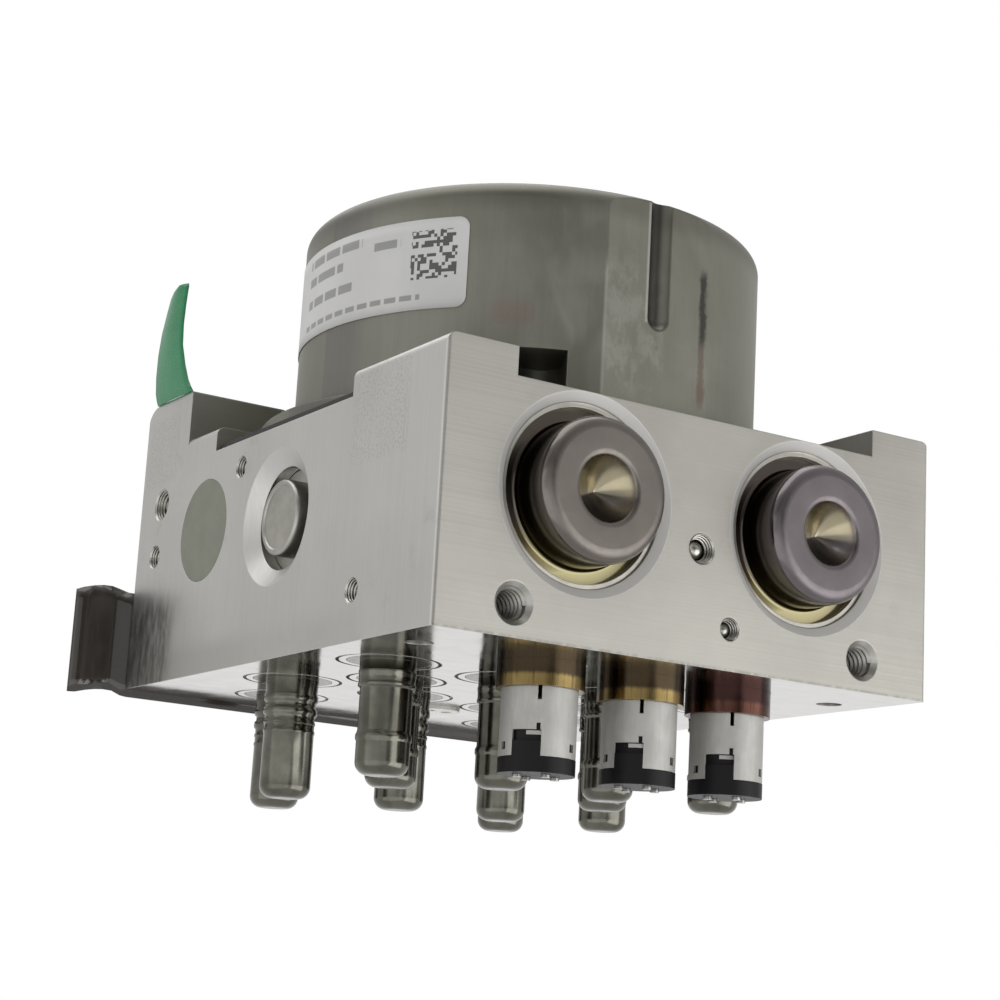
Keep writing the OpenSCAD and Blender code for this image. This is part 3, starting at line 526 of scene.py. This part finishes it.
    def edges(self, rounded, low=0.80, high=0.995):
        """1 on sharp edges, 0 on the faces between them."""
        made = self.node("ShaderNodeVectorMath", operation="DOT_PRODUCT")
        self.put(made.inputs[0], rounded)
        self.put(made.inputs[1], self.node("ShaderNodeNewGeometry").outputs["Normal"])
        return self.remap(made.outputs["Value"], low, high, 1.0, 0.0)

    def surface(self, **inputs):
        """Closes the tree with one shader and returns the material."""
        made = self.node("ShaderNodeBsdfPrincipled")
        names = {
            "color": "Base Color", "metallic": "Metallic", "rough": "Roughness", "normal": "Normal",
            "coat": "Coat Weight", "gloss": "Specular IOR Level",
        }
        for key, value in inputs.items():
            self.put(made.inputs[names[key]], value)
        self.put(self.output.inputs["Surface"], made.outputs["BSDF"])
        return self.material


def tone(level, tint=(1, 1, 1)):
    """A grey of the given level, tinted."""
    return tuple(level * t for t in tint)


WARM = (1.0, 0.975, 0.89)
COOL = (1.0, 0.98, 0.955)


# Finishes

def block_finish():
    """Milled aluminium: warm with cut lines in front, smooth and cool at the sides, lapped below. The sides
    and, lightest of all, the under face are painted lighter than the front as painted light; the left face
    carries a painted reflection of the brown film's tab, the accumulator mouths' chamfers a painted
    highlight, and the edges are lighter, partly rubbed bright and partly painted highlight.
    """
    g = Graph("milled_aluminium")
    to_x, to_y, to_z = g.facing()
    side_x, side_y, side_z = g.axes(g.coords.outputs["Normal"])
    _, _, z = g.axes(g.mm)
    front_lines = g.noise(1.0, (0.012, 1, 5.5), 5, 0.65)
    side_lines = g.noise(1.0, (1, 2.2, 0.03), 4, 0.6, shift=7)
    top_lines = g.noise(1.0, (0.03, 3.5, 1), 4, 0.6, shift=3)
    cloud = g.noise(0.035, detail=5, rough=0.6)
    dirt = g.remap(g.noise(0.16, detail=7, rough=0.7, shift=11), 0.56, 0.74)
    sideways = g.remap(to_x, 0.6, 0.8)
    lines = g.mix(sideways, g.mix(g.remap(to_z, 0.6, 0.8), front_lines, top_lines), side_lines)
    under = g.remap(side_z, -0.6, -0.9)
    leftward = g.remap(side_x, -0.6, -0.9)
    forward = g.remap(side_y, -0.6, -0.9)
    # Painted light: the lightness of each face, front darkest, sides lighter and under face lightest,
    # stands for how the lamps light it; the warm and cool tints are the metal's own.
    warm = g.mix(g.remap(cloud, 0.3, 0.7), tone(0.31, WARM), tone(0.37, WARM))
    cool = g.mix(g.remap(cloud, 0.3, 0.7), tone(0.50, COOL), tone(0.55, COOL))
    color = g.mix(g.remap(to_x, 0.6, 0.9), warm, cool)
    color = g.mix(under, color, tone(0.66, COOL))
    share = g.remap(sideways, 0, 1, 0.30, 0.07)
    color = g.mix(g.maths("MULTIPLY", g.remap(lines, 0.35, 0.7), share), color, tone(0.26, WARM))
    color = g.over(color, dirt, 0.18, tone(0.22, WARM))
    ragged = g.noise(0.7, (1, 1, 0.25), 6, 0.7, shift=23)
    # Painted reflection: the dark, ragged mirror image of the brown film's tab, low on the rear part of the
    # left face.
    tab_reflection = g.maths("MULTIPLY", g.region(2.6, y=(37, 60), z=(-3, 14.5)), g.remap(ragged, 0.30, 0.62))
    color = g.over(color, g.maths("MULTIPLY", tab_reflection, leftward), 0.72, tone(0.13, WARM))
    stain = g.maths("MULTIPLY", g.region(2.2, y=(-30, 45), z=(-4, 5)), leftward)
    stain = g.maths("MULTIPLY", stain, g.remap(cloud, 0.3, 0.6))
    color = g.over(color, stain, 0.35, tone(0.30, (1, 0.97, 0.84)))
    specks = g.remap(g.noise(2.2, detail=5, rough=0.7, shift=31), 0.5, 0.56)
    patches = g.maths("ADD", g.region(0.8, y=(-41, -24), z=(27, 42)), g.region(0.8, y=(40, 53), z=(36, 48)))
    etched = g.maths("MULTIPLY", g.maths("MULTIPLY", patches, specks), leftward)
    color = g.over(color, etched, 0.35, tone(0.30, COOL))
    low_edge = g.maths("MULTIPLY", g.remap(z, 0.55, 0.2), forward)
    color = g.over(color, g.maths("MULTIPLY", low_edge, g.remap(ragged, 0.35, 0.6)), 0.5, tone(0.14, WARM))
    rounded = g.round_edges(0.22)
    # Edges a little lighter: partly rubbed bright, partly painted highlight.
    color = g.over(color, g.edges(rounded), 0.07, tone(0.55, COOL))
    x, y, _ = g.axes(g.mm)
    # Painted highlight over the cut finish: the chamfer of each accumulator mouth is painted lighter and
    # less metallic, so that it reads white.
    mouth = None
    for side in (-1, 1):
        r = g.off_axis(x, z, side * CUP_X, CUP_Z)
        near = g.remap(y, -FRONT + 2.5, -FRONT + 1.5)
        made = g.maths("MULTIPLY", g.band(r, MOUTH_IN, MOUTH_OUT, 0.12), near)
        mouth = made if mouth is None else g.maths("MAXIMUM", mouth, made)
    color = g.over(color, mouth, 1.0, tone(0.50, COOL))
    rough = g.remap(cloud, 0.25, 0.75, 0.40, 0.48)
    rough = g.maths("ADD", rough, g.maths("MULTIPLY", g.maths("SUBTRACT", lines, 0.5), 0.12))
    rough = g.mix(under, rough, g.remap(g.noise(0.2, detail=4), 0.3, 0.7, 0.10, 0.17))
    rough = g.mix(mouth, rough, 0.62)
    depth = g.maths("MULTIPLY", lines, g.remap(under, 0, 1, 1.0, 0.06))
    depth = g.maths("MULTIPLY", depth, g.remap(sideways, 0, 1, 1.0, 0.35))
    depth = g.maths("ADD", depth, g.maths("MULTIPLY", etched, 0.8))
    normal = g.bump(depth, 0.012, 0.7, rounded)
    return g.surface(color=color, metallic=g.remap(mouth, 0, 1, 1.0, 0.35), rough=rough, normal=normal)


def can_finish():
    """Plated deep-drawn steel, dull and olive, with drawing marks, water stains, runs, a red smudge and
    lighter streaks on the front flat. Painted shade darkens the left side, the bottom just above the deck
    and the crimp groove; painted highlights run down the flat's left edge and the groove's left edge.
    """
    g = Graph("plated_can")
    x, y, z = g.axes(g.mm)
    turn = g.angle()
    cloud = g.noise(0.045, detail=6, rough=0.62, warp=0.6)
    fine = g.noise(1.2, (1, 1, 0.06), 5, 0.7, shift=4)
    blot = g.noise(0.35, (1, 1, 0.6), 6, 0.7, shift=9)
    stain = g.remap(g.noise(0.11, (1, 1, 0.45), 7, 0.68, 0.4, shift=19), 0.55, 0.72)
    ragged = g.maths("MULTIPLY", g.maths("SUBTRACT", blot, 0.5), 3.0)
    turn = g.maths("ADD", turn, ragged)

    def patch(low_turn, high_turn, low, high, soft_turn, soft):
        """A soft patch between two directions, in degrees, and two heights, in millimetres."""
        up = g.band(g.maths("ADD", z, ragged), low, high, soft)
        return g.maths("MULTIPLY", g.band(turn, low_turn, high_turn, soft_turn), up)

    olive = tone(0.170, (1.0, 0.985, 0.80))
    grey = tone(0.215, (1.0, 0.99, 0.85))
    color = g.mix(g.remap(cloud, 0.32, 0.68), olive, grey)
    color = g.over(color, g.remap(fine, 0.4, 0.75), 0.18, tone(0.11, (1, 0.97, 0.88)))
    color = g.over(color, stain, 0.30, tone(0.25, (1.0, 0.985, 0.88)))
    color = g.over(color, g.region(1.6, z=(72.5, 90)), 0.45, tone(0.085, (1, 0.96, 0.78)))
    # Painted shade: a darker, purplish band down the can's left side.
    color = g.over(color, g.band(turn, -200, -165, 6), 0.35, tone(0.11, (1, 0.95, 1.0)))
    # A lighter, streaky patch on the left half of the front flat.
    flat_streaks = g.maths("MULTIPLY", patch(-105, -88, 44, 66, 1.5, 3), g.remap(blot, 0.42, 0.62))
    color = g.over(color, flat_streaks, 0.30, tone(0.34, (1, 0.99, 0.92)))
    # Painted highlight: a thin light line down the left edge of the front flat.
    flat_edge_highlight = g.maths("MULTIPLY", g.band(g.angle(), -105.5, -104.9, 0.25), g.region(2, z=(42, 64)))
    color = g.over(color, flat_edge_highlight, 0.40, tone(0.45, (1, 0.99, 0.94)))
    color = g.over(color, patch(-131, -122, 52.6, 56.5, 1.6, 1.1), 0.26, (0.19, 0.10, 0.095))
    run = patch(-77.7, -75.9, 44.5, 66.5, 0.5, 1.2)
    high_run = g.maths("MULTIPLY", run, g.region(2, z=(54, 80)))
    color = g.over(color, high_run, 0.85, tone(0.025, (1, 0.95, 0.9)))
    color = g.over(color, g.maths("MULTIPLY", run, g.region(2, z=(40, 54))), 0.55, (0.10, 0.055, 0.045))
    # Painted shade: darker towards the bottom of the can, just above the deck.
    foot = g.maths("MULTIPLY", g.remap(z, 45.5, 41), g.remap(cloud, 0.35, 0.6))
    color = g.over(color, foot, 0.40, tone(0.08, (1, 0.95, 0.85)))
    # Painted shade: the crimp groove in front is painted nearly black.
    groove = g.maths("MULTIPLY", g.region(0.45, x=(-1.7, 0.9), z=(56, 90)), g.remap(y, -30, -34))
    color = g.over(color, groove, 0.80, tone(0.02, (1, 0.97, 0.85)))
    # Painted highlight: a thin light line along the left edge of the crimp groove.
    lip = g.maths("MULTIPLY", g.region(0.18, x=(-2.55, -2.1), z=(56, 76)), g.remap(y, -30, -34))
    color = g.over(color, lip, 0.6, tone(0.42, (1, 0.99, 0.94)))
    rounded = g.round_edges(0.35)
    rough = g.remap(cloud, 0.3, 0.7, 0.38, 0.52)
    rough = g.maths("ADD", rough, g.maths("MULTIPLY", stain, 0.1))
    normal = g.bump(g.noise(0.5, detail=6, rough=0.6), 0.02, 0.5, rounded)
    return g.surface(color=color, metallic=0.75, rough=rough, normal=normal)


def label_finish():
    """Off-white label film. Plain bars and a square of random cells stand where a label is printed."""
    g = Graph("label_film")
    place = g.node("ShaderNodeUVMap", uv_map="label_map").outputs["UV"]
    s, t, _ = g.axes(g.scaled((LABEL_MAP, LABEL_MAP, 1), place))

    def bar(start, end, middle, height, gap):
        """A bar with breaks, in millimetres from the label's front end and its lower edge."""
        there = g.maths("MULTIPLY", g.band(s, start, end, 0.12),
                        g.band(t, middle - height / 2, middle + height / 2, 0.08))
        return g.maths("MULTIPLY", there, g.remap(g.maths("PINGPONG", s, gap), 0.25, 0.45))

    ink = None
    for values in ((20.3, 37.5, 13.0, 1.5, 2.6), (12.0, 17.5, 11.6, 1.4, 3.1), (25.1, 37.5, 9.9, 1.5, 3.4),
                   (21.7, 37.5, 6.0, 1.5, 2.2), (7.9, 38.2, 2.1, 0.9, 1.5)):
        made = bar(*values)
        ink = made if ink is None else g.maths("MAXIMUM", ink, made)
    cell = 0.54
    cells = g.node("ShaderNodeCombineXYZ")
    for socket, value in zip(cells.inputs, (s, t)):
        g.put(socket, g.maths("FLOOR", g.maths("DIVIDE", value, cell)))
    chance = g.node("ShaderNodeTexWhiteNoise", noise_dimensions="3D")
    g.put(chance.inputs["Vector"], cells.outputs[0])
    square = g.maths("MULTIPLY", g.band(s, 1.8, 9.9, 0.03), g.band(t, 5.0, 13.1, 0.03))
    dots = g.maths("MULTIPLY", square, g.maths("GREATER_THAN", chance.outputs["Value"], 0.5))
    paper = g.mix(g.remap(g.noise(0.08, detail=5), 0.3, 0.7), (0.47, 0.47, 0.465), (0.51, 0.51, 0.505))
    color = g.over(paper, ink, 0.62, (0.09, 0.09, 0.09))
    color = g.over(color, dots, 0.92, (0.03, 0.03, 0.03))
    grain = g.noise(3.0, detail=3)
    normal = g.bump(grain, 0.003, 0.4)
    return g.surface(color=color, rough=g.remap(grain, 0.3, 0.7, 0.42, 0.5), normal=normal)


def cap_finish(name, side, face):
    """A drawn and tinted steel cap: matte face, straw-coloured cone, brown side wall painted darker towards
    the block as painted shade.
    """
    g = Graph(name)
    x, y, z = g.axes(g.mm)
    r = g.off_axis(x, z, side * CUP_X, CUP_Z)
    cloud = g.noise(0.22, detail=5, rough=0.6, shift=5)
    rings = g.noise(1.0, (0.9, 0.9, 0.9), 5, 0.6)
    color = g.mix(g.remap(cloud, 0.3, 0.7), tone(0.88, face), face)
    # Painted shade over the wall's brown tint: the side wall is painted darker where it sinks into the
    # block's mouth.
    wall = g.remap(y, -FRONT - 4.6, -FRONT - 2.6)
    color = g.over(color, g.maths("MULTIPLY", wall, g.remap(r, 9.4, 10.2)), 0.75, (0.075, 0.062, 0.050))
    straw = g.mix(g.remap(z, CUP_Z - 1.5, CUP_Z + 1.5), face, (0.36, 0.32, 0.22))
    color = g.mix(g.remap(r, 5.3, 4.4), color, straw)
    gold = g.maths("MULTIPLY", g.remap(z, CUP_Z - 4, CUP_Z - 9), g.remap(r, 10.6, 11.2))
    color = g.over(color, gold, 0.6, (0.26, 0.235, 0.12))
    matte, bright = g.remap(rings, 0.3, 0.7, 0.34, 0.44), g.remap(rings, 0.3, 0.7, 0.20, 0.27)
    rough = g.mix(g.remap(r, 5.6, 4.6), matte, bright)
    rough = g.mix(g.remap(r, 10.0, 10.7), rough, 0.17)
    normal = g.bump(rings, 0.004, 0.5, g.round_edges(0.12))
    return g.surface(color=color, metallic=1.0, rough=rough, normal=normal)


def brass_finish():
    """Tarnished brass: nearly black at the top, gold with dark streaks below; the right one redder."""
    g = Graph("tarnished_brass")
    x, y, z = g.axes(g.mm)
    streaks = g.noise(1.0, (1.6, 1.6, 0.12), 5, 0.65, shift=3)
    red = g.remap(x, 11, 12.5)
    gold = g.mix(red, (0.20, 0.145, 0.058), (0.085, 0.040, 0.030))
    dark = g.mix(red, (0.045, 0.033, 0.02), (0.036, 0.018, 0.016))
    color = g.mix(g.remap(g.maths("ADD", z, g.maths("MULTIPLY", streaks, 0.8)), -2.3, -1.5), gold, dark)
    color = g.over(color, g.remap(streaks, 0.50, 0.68), 0.65, dark)
    rough = g.remap(streaks, 0.3, 0.7, 0.2, 0.32)
    normal = g.bump(streaks, 0.004, 0.4, g.round_edges(0.12))
    return g.surface(color=color, metallic=1.0, rough=rough, normal=normal)


def turned_metal(name, dark, light, rough_low, rough_high, tint=(1, 1, 1), line=(1, 1, 6), edge_rub_and_highlight=0.5,
                 depth=0.006, metal=1.0):
    """Turned or drawn metal: fine marks round the piece, cloudy tone and bright edges, partly rubbed bright
    and partly painted highlight.
    """
    g = Graph(name)
    marks = g.noise(1.0, line, 5, 0.65)
    cloud = g.noise(0.25, detail=5, rough=0.6, shift=5)
    color = g.mix(g.remap(cloud, 0.3, 0.7), tone(dark, tint), tone(light, tint))
    color = g.mix(g.maths("MULTIPLY", g.remap(marks, 0.4, 0.75), 0.2), color, tone(dark * 0.6, tint))
    rounded = g.round_edges(0.12)
    # Lighter edges: partly rubbed bright, partly painted highlight.
    color = g.mix(g.maths("MULTIPLY", g.edges(rounded), edge_rub_and_highlight), color, tone(min(1, light * 1.5), tint))
    rough = g.remap(marks, 0.3, 0.7, rough_low, rough_high)
    normal = g.bump(marks, depth, 0.6, rounded)
    return g.surface(color=color, metallic=metal, rough=rough, normal=normal)


def moulded(name, color, rough, fleck=0.08, coat=0.0, gloss=0.5):
    """Moulded plastic: a fine grain, slight unevenness and softened edges, lightened partly by rubbing and
    partly as painted highlight.
    """
    g = Graph(name)
    grain = g.noise(4.0, detail=3)
    cloud = g.noise(0.3, detail=4, shift=2)
    shade = g.mix(g.remap(cloud, 0.3, 0.7), color, tuple(c * (1 + 4 * fleck) for c in color))
    rounded = g.round_edges(0.15)
    # Lighter edges: partly rubbed, partly painted highlight.
    light = tuple(min(1, c * 1.5 + 0.01) for c in color)
    shade = g.over(shade, g.edges(rounded), 0.2, light)
    roughness = g.remap(grain, 0.3, 0.7, rough - 0.06, rough + 0.06)
    normal = g.bump(grain, 0.003, 0.4, rounded)
    return g.surface(color=shade, rough=roughness, normal=normal, coat=coat, gloss=gloss)


def finishes():
    """Material slot of the record to Blender material."""
    return {
        "block": block_finish(),
        "ball": turned_metal("steel_ball", 0.30, 0.42, 0.22, 0.32, WARM, (0.4, 0.4, 0.4), 0.15, 0.002),
        "vent": moulded("frosted_vent", (0.145, 0.150, 0.118), 0.5, 0.03),
        "can": can_finish(),
        "plate": turned_metal("end_plate", 0.35, 0.45, 0.3, 0.42),
        "gasket": moulded("gasket_rubber", (0.012, 0.012, 0.012), 0.6),
        "magnet": moulded("ferrite", (0.07, 0.07, 0.075), 0.55),
        "core": turned_metal("core_steel", 0.16, 0.24, 0.35, 0.5, line=(0.1, 0.1, 8)),
        "copper": turned_metal("copper_wire", 0.5, 0.62, 0.25, 0.4, (1.0, 0.52, 0.30), (0.2, 0.2, 5)),
        "ground_steel": turned_metal("ground_steel", 0.42, 0.55, 0.16, 0.28),
        "carrier": moulded("carrier_plastic", (0.02, 0.02, 0.022), 0.45),
        "carbon": moulded("carbon", (0.03, 0.028, 0.027), 0.6),
        "screw": turned_metal("screw_steel", 0.22, 0.32, 0.25, 0.4),
        "connector": moulded("white_connector", (0.78, 0.77, 0.73), 0.4, 0.02),
        "pin": turned_metal("tinned_pin", 0.30, 0.40, 0.25, 0.35, (1.0, 0.98, 0.93)),
        "label": label_finish(),
        "plug": turned_metal("plug_steel", 0.34, 0.40, 0.34, 0.42, WARM, (0.3, 0.3, 0.3), 0.2, 0.001),
        "spring": turned_metal("spring_wire", 0.3, 0.42, 0.25, 0.35),
        "cap": cap_finish("drawn_cap", -1, (0.150, 0.135, 0.124)),
        "cap_right": cap_finish("drawn_cap_violet", 1, (0.142, 0.127, 0.133)),
        "piston": turned_metal("piston_metal", 0.4, 0.5, 0.25, 0.35),
        "ring": turned_metal("ring_steel", 0.34, 0.42, 0.3, 0.4, (1.0, 0.97, 0.88),
                             (0.5, 0.5, 0.5), 0.1, 0.001),
        "sensor_brass": brass_finish(),
        "sensor_sleeve": turned_metal("sleeve_steel", 0.34, 0.39, 0.44, 0.52, (1.0, 0.99, 0.94),
                                      (1.5, 1.5, 0.2), 0.1, metal=0.45),
        "sensor_plastic": moulded("sensor_plastic", (0.004, 0.0036, 0.0046), 0.42, 0.03, gloss=0.18),
        "green_film": moulded("green_film", (0.014, 0.17, 0.068), 0.3, 0.03),
        "brown_film": moulded("brown_film", (0.020, 0.015, 0.011), 0.2, 0.04, 0.4),
        "dome": turned_metal("smoky_steel", 0.095, 0.14, 0.15, 0.24, (1.0, 0.98, 0.82),
                             (0.8, 0.8, 0.2), 0.35),
        "plunger": turned_metal("plunger_steel", 0.35, 0.45, 0.2, 0.3),
    }


def dress_nodes(finish):
    """Gives every CAD node the finish of its slot."""
    for part in frame["record"]["subparts"]:
        mesh = nodes[part["node"]].data
        mesh.materials.clear()
        mesh.materials.append(finish[part["material_slot"]])


# Stage: lamps, world, floor

def make_lamp(name, place, target, side, power):
    data = bpy.data.lights.new(name, "AREA")
    data.shape = "SQUARE"
    data.size = side
    data.energy = power
    lamp = bpy.data.objects.new(name, data)
    bpy.context.scene.collection.objects.link(lamp)
    lamp.location = place
    lamp.rotation_mode = "QUATERNION"
    lamp.rotation_quaternion = (Vector(target) - Vector(place)).to_track_quat("-Z", "Y")
    lamp.visible_camera = False


def make_world():
    """White where the camera looks; a soft room with a darker side behind the camera elsewhere."""
    world = bpy.data.worlds.new("studio")
    bpy.context.scene.world = world
    world.use_nodes = True
    tree = world.node_tree
    tree.nodes.clear()
    new = tree.nodes.new
    link = tree.links.new
    coords = new("ShaderNodeTexCoord")
    dark_way = new("ShaderNodeVectorMath")
    dark_way.operation = "DOT_PRODUCT"
    dark_way.inputs[1].default_value = (-0.53, -0.85, 0.0)
    link(coords.outputs["Generated"], dark_way.inputs[0])
    dark = new("ShaderNodeMapRange")
    dark.interpolation_type = "SMOOTHSTEP"
    for key, value in (("From Min", 0.35), ("From Max", 0.95), ("To Min", 0.75), ("To Max", 0.12)):
        dark.inputs[key].default_value = value
    link(dark_way.outputs["Value"], dark.inputs["Value"])
    room = new("ShaderNodeBackground")
    room.inputs["Color"].default_value = (1, 0.99, 0.97, 1)
    link(dark.outputs["Result"], room.inputs["Strength"])
    white = new("ShaderNodeBackground")
    white.inputs["Color"].default_value = (1, 1, 1, 1)
    path = new("ShaderNodeLightPath")
    choose = new("ShaderNodeMixShader")
    link(path.outputs["Is Camera Ray"], choose.inputs[0])
    link(room.outputs[0], choose.inputs[1])
    link(white.outputs[0], choose.inputs[2])
    out = new("ShaderNodeOutputWorld")
    link(choose.outputs[0], out.inputs["Surface"])


def make_floor():
    """A pale floor well below the unit. Metal reflects it as white, like the background."""
    half = 15.0
    drop = -0.36
    mesh = bpy.data.meshes.new("floor")
    corners = [(-half, -half, drop), (half, -half, drop), (half, half, drop), (-half, half, drop)]
    mesh.from_pydata(corners, [], [(0, 1, 2, 3)])
    floor = bpy.data.objects.new("floor", mesh)
    bpy.context.scene.collection.objects.link(floor)
    g = Graph("pale_floor")
    color = g.mix(g.remap(g.noise(0.01), 0.3, 0.7), (0.83, 0.83, 0.83), (0.84, 0.84, 0.84))
    material = g.surface(color=color, rough=0.7)
    plain = g.output.inputs["Surface"].links[0].from_socket
    glow = g.node("ShaderNodeEmission")
    glow.inputs["Color"].default_value = (1, 1, 1, 1)
    glow.inputs["Strength"].default_value = 0.9
    choose = g.node("ShaderNodeMixShader")
    g.put(choose.inputs[0], g.node("ShaderNodeLightPath").outputs["Is Glossy Ray"])
    g.tree.links.new(plain, choose.inputs[1])
    g.tree.links.new(glow.outputs[0], choose.inputs[2])
    g.tree.links.new(choose.outputs[0], g.output.inputs["Surface"])
    mesh.materials.append(material)


def make_stage():
    make_world()
    make_floor()
    middle = (0, 0, 0.02)
    make_lamp("lamp_left", (-0.45, -0.25, -0.20), middle, 1.2, 3.0)
    make_lamp("lamp_right", (0.30, -0.48, -0.22), middle, 0.7, 3.6)
    make_lamp("lamp_top", (-0.1, 0.2, 0.7), middle, 0.9, 4.0)


make_camera()
finish = finishes()
dress_nodes(finish)
add_details(finish)
make_stage()

bpy.context.scene.view_settings.view_transform = "Standard"
